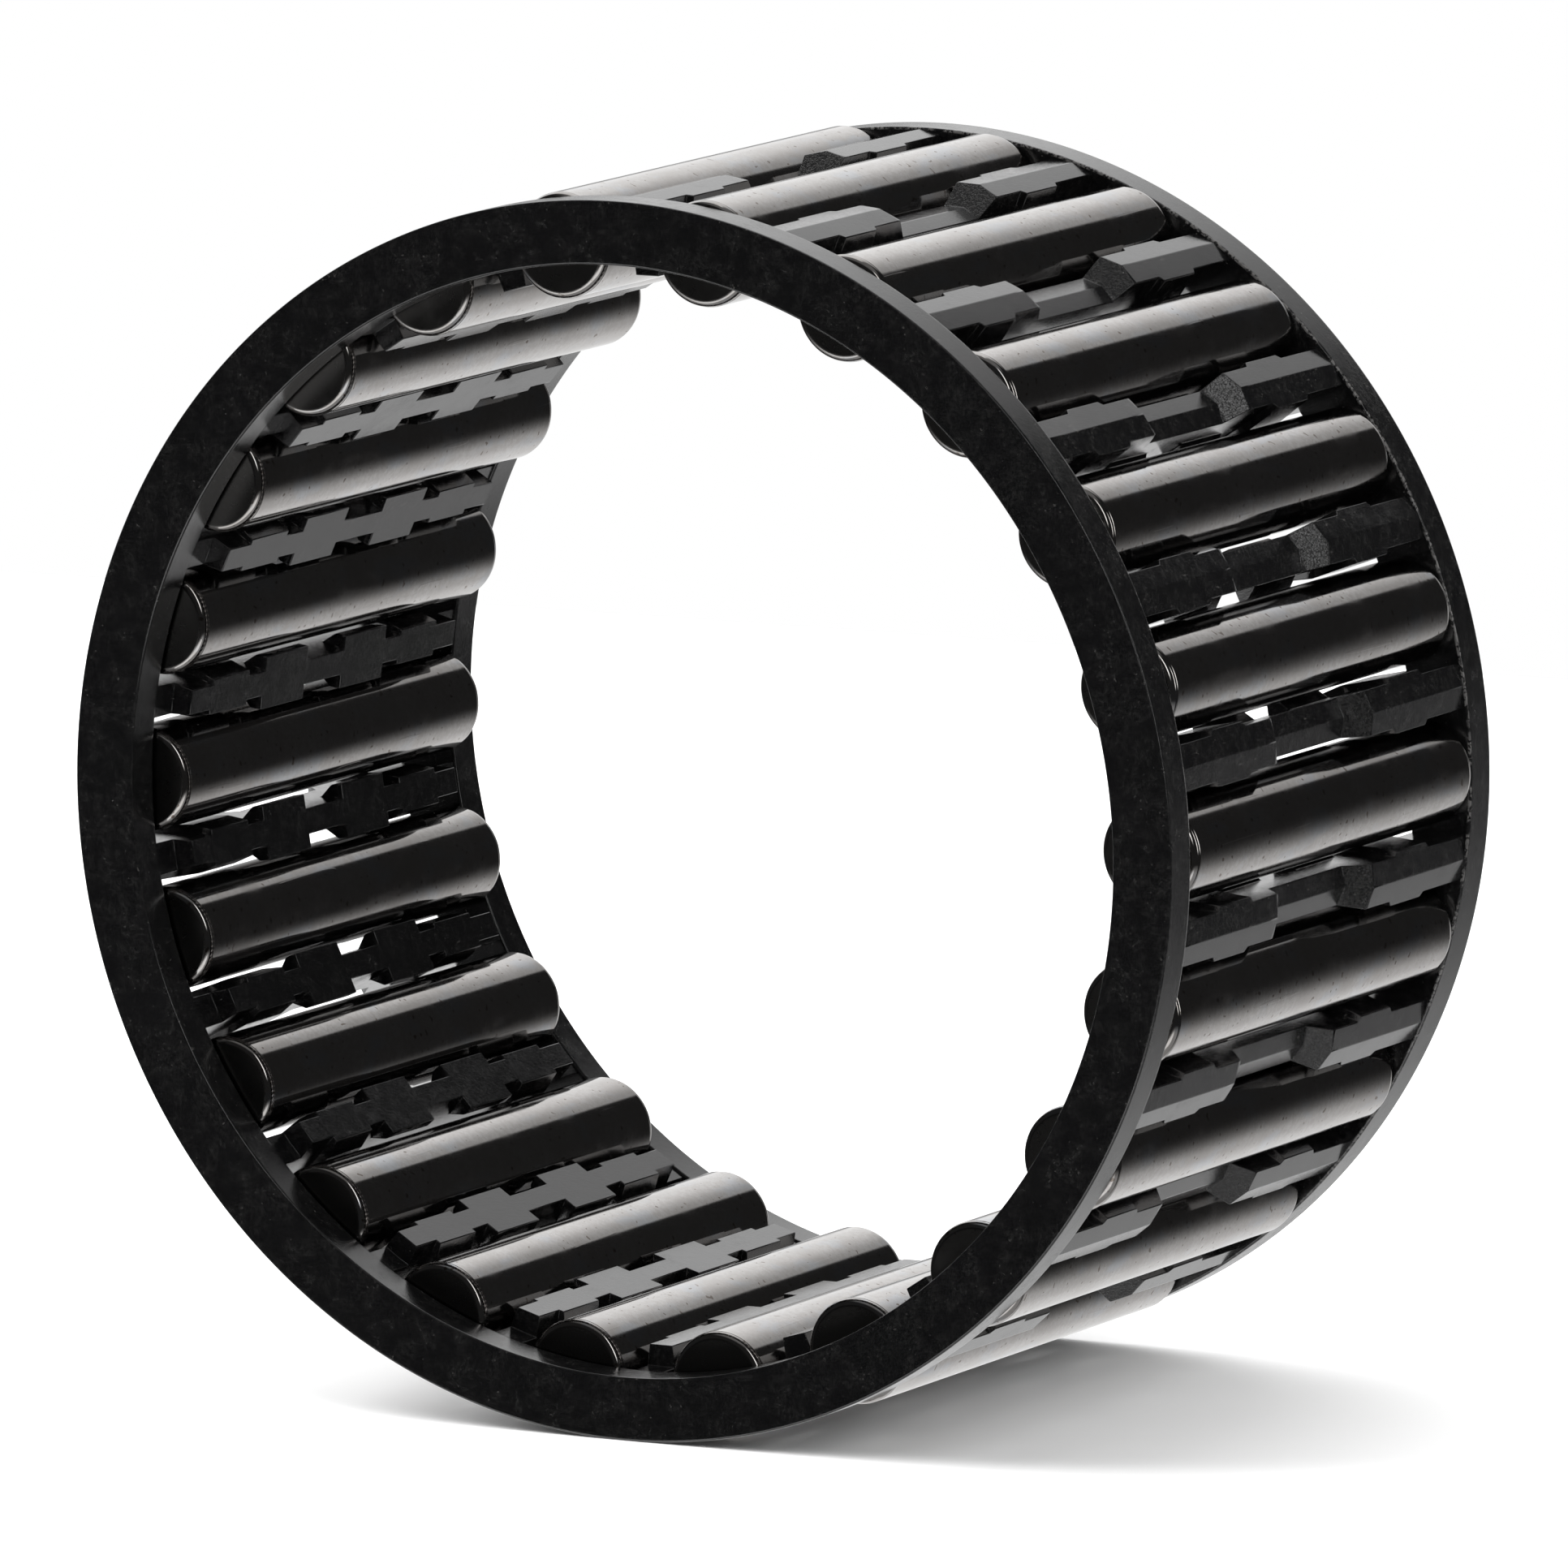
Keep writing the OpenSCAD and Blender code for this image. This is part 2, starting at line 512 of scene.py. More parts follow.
@dataclass(frozen=True)
class MouldedPolyamide:
    """Black glass-filled polyamide as it leaves the mould, with fibre mottle and spark-eroded grain.

    Scales are in features per millimetre and depths in millimetres.
    """

    dark: Colour = (0.0028, 0.0028, 0.003, 1)
    pale: Colour = (0.0105, 0.0103, 0.01, 1)
    # The pale colour painted along the rings' outer corner as a highlight.
    fleck: Colour = (0.06, 0.058, 0.055, 1)
    painted_highlight: Colour = (0.07, 0.068, 0.066, 1)
    specular_level: float = 1.0
    blotch_scale: float = 0.9
    mottle_scale: float = 3.2
    fibre_scale: float = 4.4
    coarse_scale: float = 6.5
    fine_scale: float = 7.0
    # Scales of the noises that break up the painted highlight on the rings' outer corner.
    highlight_patch_scale: float = 0.6
    highlight_breakup_scale: float = 4.0
    fleck_share: float = 0.55
    coarse_pale_share: float = 0.12
    ring_roughness: float = 0.16
    bar_roughness: float = 0.1
    cloud_roughness: float = 0.12
    smudge_roughness: float = 0.12
    coarse_roughness: float = 0.1
    coarse_height: float = 4.0
    relief_strength: float = 0.8
    relief_depth: float = 0.011
    grain_attribute: str = GRAIN_ATTRIBUTE
    # Where the painted highlight lies, as radius less distance from the middle in millimetres, and how far
    # below that it starts and ends.
    highlight_corner: float = 21.0
    highlight_reach: tuple[float, float] = (0.21, 0.15)

    def build(self, effects: SharedEffects, skin: Skin) -> bpy.types.Material:
        """Builds the material.

        Colour goes from dark to pale with a blotchy mottle, with thin pale flecks where fibres show.
        Height is a fine grain everywhere, and a much coarser one where the grain attribute is set.

        Args:
            effects: The shared node groups.
            skin: Which kind of surface it is for.

        Returns:
            The material.
        """
        material, sheet, shader = new_material(f"moulded_polyamide_{skin.value}")
        place = sheet.own_place()
        along_fibres = sheet.own_place(stretch=(1, 0.3, 1), turn=(0.3, 0.5, 0.9))
        marks = place_effect(sheet, effects.handling_marks, smudge_amount=0.6, dust_amount=0.9)
        coarse = sheet.node("ShaderNodeAttribute", attribute_name=self.grain_attribute).outputs["Fac"]
        blotch = sheet.noise(place, self.blotch_scale, detail=5.0, roughness=0.65)
        mottle = sheet.noise(place, self.mottle_scale, detail=4.0, roughness=0.7)
        fibres = sheet.noise(along_fibres, self.fibre_scale)
        cloud = sheet.times(sheet.ramp(blotch, 0.36, 0.66), sheet.ramp(mottle, 0.35, 0.7))
        flecks = sheet.times(sheet.ramp(fibres, 0.66, 0.74), sheet.ramp(blotch, 0.44, 0.6))
        eroded = sheet.times(sheet.ramp(sheet.noise(place, self.coarse_scale), 0.47, 0.57), coarse)

        pale = sheet.largest(sheet.times(flecks, self.fleck_share), marks["Dust"],
                             sheet.times(eroded, self.coarse_pale_share))
        colour = sheet.blend(pale, sheet.blend(cloud, self.dark, self.pale), self.fleck)
        if skin is Skin.RING:
            # On the rings, a painted highlight: a broken pale line along the outer corner on the side of the
            # pockets.
            colour = sheet.blend(self.painted_corner_highlight(sheet, place), colour, self.painted_highlight)
        sheet.feed(shader.inputs["Base Color"], colour)

        base = self.ring_roughness if skin is Skin.RING else self.bar_roughness
        rough = sheet.add(sheet.times(cloud, self.cloud_roughness), base,
                          sheet.times(marks["Smudge"], self.smudge_roughness),
                          sheet.times(coarse, self.coarse_roughness))
        sheet.feed(shader.inputs["Roughness"], rough)

        fine = sheet.noise(place, self.fine_scale, detail=3.0, roughness=0.6)
        height = sheet.add(sheet.times(eroded, self.coarse_height), fine, sheet.times(blotch, 0.5))
        sheet.feed(shader.inputs["Normal"], sheet.bump(height, self.relief_strength, self.relief_depth))
        shader.inputs["Specular IOR Level"].default_value = self.specular_level
        return material

    def painted_corner_highlight(self, sheet: NodeSheet, place: Socket) -> Socket:
        """A mask for a painted highlight: a broken pale line along the ring's outer corner.

        It follows the ring's outer corner on the side of the pockets, the only place where the radius
        less the distance from the middle is close to its largest value. A noise breaks it up.

        Args:
            sheet: The material's sheet.
            place: The place's output, in millimetres.

        Returns:
            The mask's output.
        """
        x, y, z = sheet.parts(place)
        radius = sheet.math(MathStep.SQUARE_ROOT, sheet.add(sheet.times(x, x), sheet.times(z, z)))
        past = sheet.math(MathStep.SUBTRACT, radius, sheet.math(MathStep.ABSOLUTE, y))
        start, end = (self.highlight_corner - reach for reach in self.highlight_reach)
        patches = sheet.ramp(sheet.noise(place, self.highlight_patch_scale), 0.4, 0.52)
        highlight_breakup = sheet.ramp(sheet.noise(place, self.highlight_breakup_scale, detail=3.0), 0.42, 0.56)
        return sheet.times(sheet.ramp(past, start, end), patches, highlight_breakup)


@dataclass(frozen=True)
class GroundSteel:
    """Hardened bearing steel, ground and polished, with duller flat ends.

    Scales are in features per millimetre and depths in millimetres.
    """

    clean: Colour = (0.45, 0.437, 0.428, 1)
    tinted: Colour = (0.365, 0.345, 0.33, 1)
    bluish: Colour = (0.4, 0.43, 0.47, 1)
    stain: Colour = (0.16, 0.13, 0.11, 1)
    end_face: Colour = (0.17, 0.165, 0.16, 1)
    cloud_scale: float = 0.22
    haze_scale: float = 0.5
    mottle_scale: float = 2.2
    speck_scale: float = 2.6
    scratch_scale: float = 1.9
    speckle_scale: float = 3.0
    end_scale: float = 5.0
    grinding_scale: float = 9.0
    roughness: float = 0.05
    speckle_roughness: float = 0.06
    smudge_roughness: float = 0.08
    end_roughness: float = 0.2
    scratch_height: float = 2.0
    end_height: float = 9.0
    relief_strength: float = 0.35
    relief_depth: float = 0.0025
    end_zone: tuple[float, float] = (0.03, 0.005)

    def build(self, effects: SharedEffects, half_length: float) -> bpy.types.Material:
        """Builds the material.

        The cylinder has cross-wise grinding grain, faint clouds, a bluish haze, sparse dark specks and
        hair scratches. The end faces, told by their place along the axis, are darker and rougher.

        Args:
            effects: The shared node groups.
            half_length: Distance from the middle of a roller to its end face, in metres.

        Returns:
            The material.
        """
        material, sheet, shader = new_material("ground_bearing_steel")
        place = sheet.own_place()
        marks = place_effect(sheet, effects.handling_marks, smudge_amount=1.0, dust_amount=0.5)
        along = sheet.math(MathStep.ABSOLUTE, sheet.parts(place)[1])
        at_end = sheet.ramp(along, *(half_length / MM - inset for inset in self.end_zone))
        cloud = sheet.ramp(sheet.noise(place, self.cloud_scale, detail=3.0, roughness=0.55), 0.35, 0.7)
        mottle = sheet.ramp(sheet.noise(place, self.mottle_scale, detail=5.0, roughness=0.75), 0.38, 0.62)
        haze = sheet.ramp(sheet.noise(sheet.own_place(stretch=(1, 0.5, 1)), self.haze_scale, detail=5.0),
                          0.52, 0.7)
        specks = sheet.ramp(sheet.noise(place, self.speck_scale, detail=0.0), 0.775, 0.8)

        colour = sheet.blend(sheet.times(cloud, 0.7), self.clean, self.tinted)
        colour = sheet.blend(sheet.times(mottle, 0.7), colour, self.tinted)
        colour = sheet.blend(sheet.times(haze, 0.5), colour, self.bluish)
        colour = sheet.blend(sheet.times(specks, 0.85), colour, self.stain)
        colour = sheet.blend(sheet.times(marks["Smudge"], 0.3), colour, self.tinted)
        sheet.feed(shader.inputs["Base Color"], sheet.blend(at_end, colour, self.end_face))

        speckle = sheet.noise(place, self.speckle_scale, detail=3.0, roughness=0.7)
        rough = sheet.add(sheet.times(speckle, self.speckle_roughness), self.roughness,
                          sheet.times(marks["Smudge"], self.smudge_roughness),
                          sheet.times(at_end, self.end_roughness))
        sheet.feed(shader.inputs["Roughness"], rough)

        across = sheet.own_place(stretch=(0.35, 1, 0.35))
        grinding = sheet.noise(across, self.grinding_scale, detail=3.0, roughness=0.65)
        lengthwise = sheet.own_place(stretch=(1.0, 0.06, 1.0), turn=(0.5, 0.15, 0.35))
        scratches = sheet.ramp(sheet.noise(lengthwise, self.scratch_scale, detail=0.0), 0.765, 0.785)
        ends = sheet.times(sheet.noise(place, self.end_scale, detail=4.0, roughness=0.7), at_end)
        height = sheet.add(grinding, sheet.times(scratches, self.scratch_height),
                           sheet.times(ends, self.end_height))
        sheet.feed(shader.inputs["Normal"], sheet.bump(height, self.relief_strength, self.relief_depth))
        shader.inputs["Metallic"].default_value = 1.0
        return material


@dataclass(frozen=True)
class PalePaper:
    """The studio floor's matt white paper."""

    colour: Colour = (0.9, 0.9, 0.9, 1)
    fibre: Colour = (0.84, 0.84, 0.85, 1)
    fibre_scale: float = 0.05
    fibre_share: float = 0.04
    roughness: float = 0.9

    def build(self) -> bpy.types.Material:
        """Builds the material: white with a very faint cloudiness.

        Returns:
            The material.
        """
        material, sheet, shader = new_material("pale_paper")
        share = sheet.times(sheet.noise(sheet.own_place(), self.fibre_scale), self.fibre_share)
        sheet.feed(shader.inputs["Base Color"], sheet.blend(share, self.colour, self.fibre))
        shader.inputs["Roughness"].default_value = self.roughness
        return material


# --- The cage ---


@dataclass(frozen=True)
class CageRing:
    """One moulded end ring, a rounded rectangle turned about the axis. Sizes in metres."""

    name: str
    end: int
    bore_radius: float = 36.5 * MM
    thickness: float = 2.85 * MM
    edge_radius: float = 0.16 * MM
    edge_steps: int = 5
    flat_steps: int = 4
    guard_share: float = 0.04
    segments: int = 448

    def profile(self, sizes: BearingSizes) -> np.ndarray:
        """The ring's closed cross-section.

        Four quarter arcs, one at each corner of the rectangle, joined by flats that have a guard point
        close to each arc, so that smooth shading leaves the flats flat.

        Args:
            sizes: The bearing's sizes.

        Returns:
            Array of shape (n, 2) with the distance from the axis and the place along it.
        """
        inner, outer = self.bore_radius, sizes.ring_outer_radius
        near, far = sorted([self.end * (sizes.half_width - self.thickness), self.end * sizes.half_width])
        e = self.edge_radius
        corners = [(outer - e, far - e), (inner + e, far - e), (inner + e, near + e), (outer - e, near + e)]
        arcs = [arc(c, e, 90 * i, 90 * (i + 1), self.edge_steps) for i, c in enumerate(corners)]
        shares = [self.guard_share, *np.linspace(0, 1, self.flat_steps + 2)[1:-1], 1 - self.guard_share]
        guard = np.array(shares)[:, None]
        stretches = []
        for this, following in zip(arcs, arcs[1:] + arcs[:1]):
            stretches += [this, this[-1] + guard * (following[0] - this[-1])]
        return np.concatenate(stretches)

    def build(self, sizes: BearingSizes, material: bpy.types.Material) -> bpy.types.Object:
        """Builds the ring and dresses it.

        Args:
            sizes: The bearing's sizes.
            material: Its finish.

        Returns:
            The ring.
        """
        piece = turned_piece(self.name, self.profile(sizes), self.segments, np.zeros(3))
        piece.data.materials.append(material)
        return piece


class Back(Enum):
    """The stretches of a bar's back, from its middle to its lugs."""

    LOW = "low"
    SLOPE_FOOT = "slope_foot"
    SLOPE_LOW = "slope_low"
    SLOPE_HIGH = "slope_high"
    HIGH = "high"


@dataclass(frozen=True)
class Station:
    """One cross-section of a bar: where it is, how wide, how high its back is, how deep its face is.

    Sizes in metres. A guide width of 0 means that the sides run straight from face to back.
    """

    along: float
    width_at_face: float
    width_at_back: float
    back: Back
    face_distance: float
    block: bool = False
    back_shift: float = 0.0
    guide_width: float = 0.0


@dataclass(frozen=True)
class CageBar:
    """One bar between two pockets. Sizes in metres, all measured on the moulding."""

    face_distance: float = 35.2 * MM
    face_width: float = 1.7 * MM
    back_width: float = 3.05 * MM
    ridge_depth: float = 0.1 * MM
    roof_angle: float = 12.0
    pocket_half_length: float = 19.7 * MM
    overlap: float = 1.4 * MM
    foot_length: float = 2.3 * MM
    foot_distance: float = 36.65 * MM
    trough_half_length: float = 5.4 * MM
    trough_depth: float = 1.45 * MM
    shoulder_start: float = 10.0 * MM
    shoulder_end: float = 14.75 * MM
    shoulder_back_width: float = 3.8 * MM
    shoulder_face_width: float = 2.4 * MM
    shoulder_guide_width: float = 3.25 * MM
    shoulder_slant: float = 0.35 * MM
    block_start: float = 2.45 * MM
    block_end: float = 7.95 * MM
    block_width: float = 3.65 * MM
    block_height: float = 0.8 * MM
    block_taper: float = 0.92 * MM
    edge_width: float = 0.07 * MM
    edge_angle: float = 9.0
    web_eaves_share: float = 0.78
    slope_limit: float = 0.5
    grain_attribute: str = GRAIN_ATTRIBUTE

    def half_width(self, station: Station, distance: float, ridge: float) -> float:
        """Half of the bar's width at a distance from the axis.

        The sides are straight lines from the face width at the inner face, or from the guide width a
        little further out, to the back width at the eaves. The eaves lie below the ridge by the roof's
        slope times half of the back width.

        Args:
            station: The cross-section.
            distance: Distance from the axis, in metres.
            ridge: Distance from the axis to the ridge, in metres.

        Returns:
            Half of the width in metres.
        """
        start, width = self.face_distance, station.width_at_face
        if station.guide_width and distance >= self.foot_distance:
            start, width = self.foot_distance, station.guide_width
        eaves = ridge - math.tan(math.radians(self.roof_angle)) * station.width_at_back / 2
        flare = (station.width_at_back - width) / 2 / (eaves - start)
        return width / 2 + flare * (distance - start)

    def eaves(self, station: Station, top: float, ridge: float) -> Pair:
        """Where the straight line of the sides meets the slope of a roof.

        Args:
            station: The cross-section.
            top: Distance from the axis to the top of that roof, in metres.
            ridge: Distance from the axis to the ridge, in metres.

        Returns:
            Half of the width there, and the distance from the axis.
        """
        slope = math.tan(math.radians(self.roof_angle))
        at_top = self.half_width(station, top, ridge)
        flare = (at_top - station.width_at_face / 2) / (top - self.face_distance)
        half = at_top / (1 + flare * slope)
        return half, top - slope * half

    def back_points(self, station: Station, ridge: float) -> list[Pair]:
        """Eaves, crease and centre of one half of the back.

        On the low and high stretches the crease is at the centre and both roof facets are whole. Where
        the 45 degree slope first meets a facet the crease is at the eaves, and it reaches the centre
        where the slope has passed the ridge.

        Args:
            station: The cross-section.
            ridge: Distance from the axis to the ridge, in metres.

        Returns:
            The three points, as (half width, distance) pairs.
        """
        low = ridge - self.trough_depth
        low_eaves, high_eaves = self.eaves(station, low, ridge), self.eaves(station, ridge, ridge)
        return {
            Back.LOW: [low_eaves, (0.0, low), (0.0, low)],
            Back.SLOPE_FOOT: [low_eaves, low_eaves, (0.0, low)],
            Back.SLOPE_LOW: [(self.half_width(station, low, ridge), low), (0.0, low), (0.0, low)],
            Back.SLOPE_HIGH: [high_eaves, high_eaves, (0.0, high_eaves[1])],
            Back.HIGH: [high_eaves, (0.0, ridge), (0.0, ridge)],
        }[station.back]

    def cross_section(self, station: Station, ridge: float) -> np.ndarray:
        """The closed outline of one station as points (outward, along, across).

        It runs up one side from the inner face, over the back and down the other side. A block adds a
        straight side and a taper that ends on the plain side. Elsewhere those points lie on the side, one
        of them where the raised face of the foot begins.

        Args:
            station: The cross-section.
            ridge: Distance from the axis to the ridge, in metres.

        Returns:
            Array of shape (11, 3), in metres.
        """
        plain = Station(station.along, self.face_width, self.back_width, Back.HIGH, station.face_distance)
        straight_top = self.face_distance + self.block_height
        taper_top = straight_top + self.block_taper
        if station.block:
            reach = self.half_width(plain, taper_top, ridge)
            side = [(self.block_width / 2, station.face_distance), (self.block_width / 2, straight_top),
                    (reach, taper_top)]
        else:
            side = [(self.half_width(station, d, ridge), d)
                    for d in (station.face_distance, self.foot_distance, taper_top)]
        back = self.back_points(station, ridge)
        half = np.array(side + back[:2])
        centre = np.array([back[2]])
        lift_share = (half[:, 1] - self.face_distance) / (ridge - self.face_distance)
        shift = station.back_shift * np.minimum(lift_share * (half[:, 0] > 0), 1)
        along = station.along + np.concatenate([shift, [0.0], shift[::-1]])
        outward = np.concatenate([half[:, 1], centre[:, 1], half[::-1, 1]])
        across = np.concatenate([half[:, 0], centre[:, 0], -half[::-1, 0]])
        return np.stack([outward, along, across], axis=1)

    def stations(self, ridge: float) -> list[Station]:
        """The stations from the middle of a bar to its end, two at the same place where it steps.

        Args:
            ridge: Distance from the axis to the ridge, in metres.

        Returns:
            The stations in order.
        """
        slope = math.tan(math.radians(self.roof_angle))
        lug_top = self.trough_half_length + self.trough_depth
        low_drop = self.trough_depth + slope * self.face_width * self.web_eaves_share
        high_drop = slope * self.back_width / 2
        foot = self.pocket_half_length - self.foot_length
        end = self.pocket_half_length + self.overlap
        narrow, face = (self.face_width, self.back_width), self.face_distance
        wide = (self.shoulder_face_width, self.shoulder_back_width)
        slant, guide = self.shoulder_slant, self.shoulder_guide_width
        return [
            Station(0.0, *narrow, Back.LOW, face),
            Station(self.block_start, *narrow, Back.LOW, face),
            Station(self.block_start, *narrow, Back.LOW, face, block=True),
            Station(lug_top - low_drop, *narrow, Back.SLOPE_FOOT, face, block=True),
            Station(self.trough_half_length, *narrow, Back.SLOPE_LOW, face, block=True),
            Station(lug_top - high_drop, *narrow, Back.SLOPE_HIGH, face, block=True),
            Station(lug_top, *narrow, Back.HIGH, face, block=True),
            Station(self.block_end, *narrow, Back.HIGH, face, block=True),
            Station(self.block_end, *narrow, Back.HIGH, face),
            Station(self.shoulder_start, *narrow, Back.HIGH, face),
            Station(self.shoulder_start, *wide, Back.HIGH, face, back_shift=slant, guide_width=guide),
            Station(self.shoulder_end, *wide, Back.HIGH, face, back_shift=-slant, guide_width=guide),
            Station(self.shoulder_end, *narrow, Back.HIGH, face),
            Station(foot, *narrow, Back.HIGH, face),
            Station(foot, *narrow, Back.HIGH, self.foot_distance),
            Station(end, *narrow, Back.HIGH, self.foot_distance),
        ]

    def mark_slopes(self, piece: bpy.types.Object, angle: float) -> None:
        """Sets the coarse grain attribute on the 45 degree faces at the lugs' ends.

        Those are the only faces whose normal leans both outward and along the axis.

        Args:
            piece: The bar.
            angle: Where it stands round the axis, in radians.
        """
        mesh = piece.data
        normals = np.empty(len(mesh.polygons) * 3)
        mesh.polygons.foreach_get("normal", normals)
        normals = normals.reshape(-1, 3)
        outward = normals @ np.array([math.cos(angle), 0.0, math.sin(angle)])
        sloped = (outward > self.slope_limit) & (np.abs(normals[:, 1]) > self.slope_limit)
        layer = mesh.attributes.new(self.grain_attribute, "FLOAT", "FACE")
        layer.data.foreach_set("value", sloped.astype(np.float32))

    def build(self, name: str, sizes: BearingSizes, angle: float,
              material: bpy.types.Material) -> bpy.types.Object:
        """Builds one bar: cross-sections carried along the axis and mirrored about the middle.

        The stepped inner face between the two feet is one flat polygon, so that no sliver lies on a step.

        Args:
            name: Name of the new object.
            sizes: The bearing's sizes.
            angle: Where the bar stands round the axis, in radians.
            material: Its finish.

        Returns:
            The new object.
        """
        ridge = sizes.ring_outer_radius - self.ridge_depth
        half = np.stack([self.cross_section(s, ridge) for s in self.stations(ridge)])
        other = half[:0:-1] * np.array([1, -1, 1])
        grid = turned_about_axis(np.concatenate([other, half]), angle)
        rows, columns = grid.shape[:2]
        faces = loop_faces(rows, columns, closed_rows=False)
        row, column = np.divmod(faces[:, 0], columns)
        stepped_face = (column == columns - 1) & (row >= 2) & (row < rows - 3)
        faces = faces[~stepped_face].tolist()
        middle = np.arange(2, rows - 2)
        faces.append([*(middle * columns), *(middle[::-1] * columns + columns - 1)])
        faces += [list(range(columns))[::-1], list(range((rows - 1) * columns, rows * columns))]
        piece = mesh_piece(name, grid.reshape(-1, 3), faces, smooth=True)
        self.mark_slopes(piece, angle)
        add_bevel(piece, self.edge_width, 2, self.edge_angle)
        piece.data.materials.append(material)
        return piece


@dataclass(frozen=True)
class Cage:
    """The one-piece moulded cage: two rings and a bar between each pair of rollers."""

    sizes: BearingSizes
    bar: CageBar = CageBar()

    def build(self, effects: SharedEffects) -> list[bpy.types.Object]:
        """Builds every visible piece of the cage and puts it in place of the CAD node.

        Args:
            effects: The shared node groups.

        Returns:
            The pieces.
        """
        finish = MouldedPolyamide()
        ring_skin, bar_skin = finish.build(effects, Skin.RING), finish.build(effects, Skin.BAR)
        pieces = [
            CageRing("cage_front_ring", end=-1).build(self.sizes, ring_skin),
            CageRing("cage_rear_ring", end=1).build(self.sizes, ring_skin),
        ]
        for number in range(self.sizes.roller_count):
            angle = self.sizes.angle(number + 0.5)
            pieces.append(self.bar.build(f"cage_bar_{number + 1:02d}", self.sizes, angle, bar_skin))
        for piece in pieces:
            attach(piece, CAGE_BODY)
            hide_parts("cage")
        return pieces


# --- The rollers ---


@dataclass(frozen=True)
class Roller:
    """One ground roller. Sizes in metres."""

    edge_radius: float = 0.5 * MM
    edge_step: float = 0.02 * MM
    band_width: float = 0.03 * MM
    guard_gap: float = 0.06 * MM
    face_guard_gap: float = 0.02 * MM
    guard_shares: Pair = (0.75, 0.35)
    segments: int = 128
    edge_steps: int = 14

    def end_profile(self, sizes: BearingSizes) -> np.ndarray:
        """Half of the lengthwise outline, from the centre of the end face to the middle.

        A quarter arc rounds the flat end into the edge band, and a fine step leads up from the band to
        the ground cylinder. Guard points beside the arc and the step keep the flats flat.

        Args:
            sizes: The bearing's sizes.

        Returns:
            Array of shape (n, 2) with the distance from the roller's axis and the place along it.
        """
        band, end, e = sizes.roller_radius - self.edge_step, sizes.roller_half_length, self.edge_radius
        edge = arc((band - e, end - e), e, 90, 0, self.edge_steps)
        step_at = end - e - self.band_width
        flat = np.array([[0, end], [0.5 * (band - e), end], [band - e - self.face_guard_gap, end]])
        body = np.array([
            [band, step_at],
            [sizes.roller_radius, step_at - self.edge_step],
            [sizes.roller_radius, step_at - self.guard_gap],
            *([sizes.roller_radius, share * end] for share in self.guard_shares),
        ])
        return np.concatenate([flat, edge, body])

    def build(self, name: str, sizes: BearingSizes, angle: float,
              material: bpy.types.Material) -> bpy.types.Object:
        """Builds one roller at its place on the pitch circle.

        Args:
            name: Name of the new object.
            sizes: The bearing's sizes.
            angle: Where it lies round the axis, in radians.
            material: Its finish.

        Returns:
            The roller.
        """
        half = self.end_profile(sizes)
        profile = np.concatenate([half, half[::-1] * np.array([1, -1])])
        centre = turned_about_axis(np.array([sizes.pitch_radius, 0.0, 0.0]), angle)
        piece = turned_piece(name, profile, self.segments, centre)
        piece.data.materials.append(material)
        return piece


@dataclass(frozen=True)
class RollerSet:
    """The full ring of rollers, one in each pocket."""

    sizes: BearingSizes
    roller: Roller = Roller()

    def build(self, effects: SharedEffects) -> list[bpy.types.Object]:
        """Builds the rollers, each riding on its own body in place of its CAD node.

        Args:
            effects: The shared node groups.

        Returns:
            The rollers.
        """
        steel = GroundSteel().build(effects, self.sizes.roller_half_length)
        pieces = []
        for number in range(self.sizes.roller_count):
            node = f"roller_{number + 1:02d}"
            piece = self.roller.build(f"ground_{node}", self.sizes, self.sizes.angle(number), steel)
            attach(piece, node)
            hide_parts(node)
            pieces.append(piece)
        return pieces


# --- Studio ---


@dataclass(frozen=True)
class StripLamp:
    """A tall narrow lamp in the surround.

    The bearing of its centre, its half width and its soft edge are in degrees. Foot and head say where
    its lower end fades in and its upper end fades out, as the upward part of a direction.
    """

    centre: float
    half_width: float
    foot: Pair
    head: Pair
    white: float = 2.4
    soft_edge: float = 1.5

    def brightness(self, sheet: NodeSheet, bearing: Socket, up: Socket) -> Socket:
        """The lamp's brightness in a direction, full inside its outline and fading out at its edges.

        Args:
            sheet: The world's sheet.
            bearing: The direction's bearing in degrees.
            up: The direction's upward part.

        Returns:
            The brightness's output.
        """
        away = sheet.math(MathStep.ABSOLUTE, sheet.math(MathStep.SUBTRACT, bearing, self.centre))
        across = sheet.ramp(away, self.half_width + self.soft_edge, self.half_width, 0.0, self.white)
        return sheet.times(across, sheet.ramp(up, *self.foot), sheet.ramp(up, *self.head))


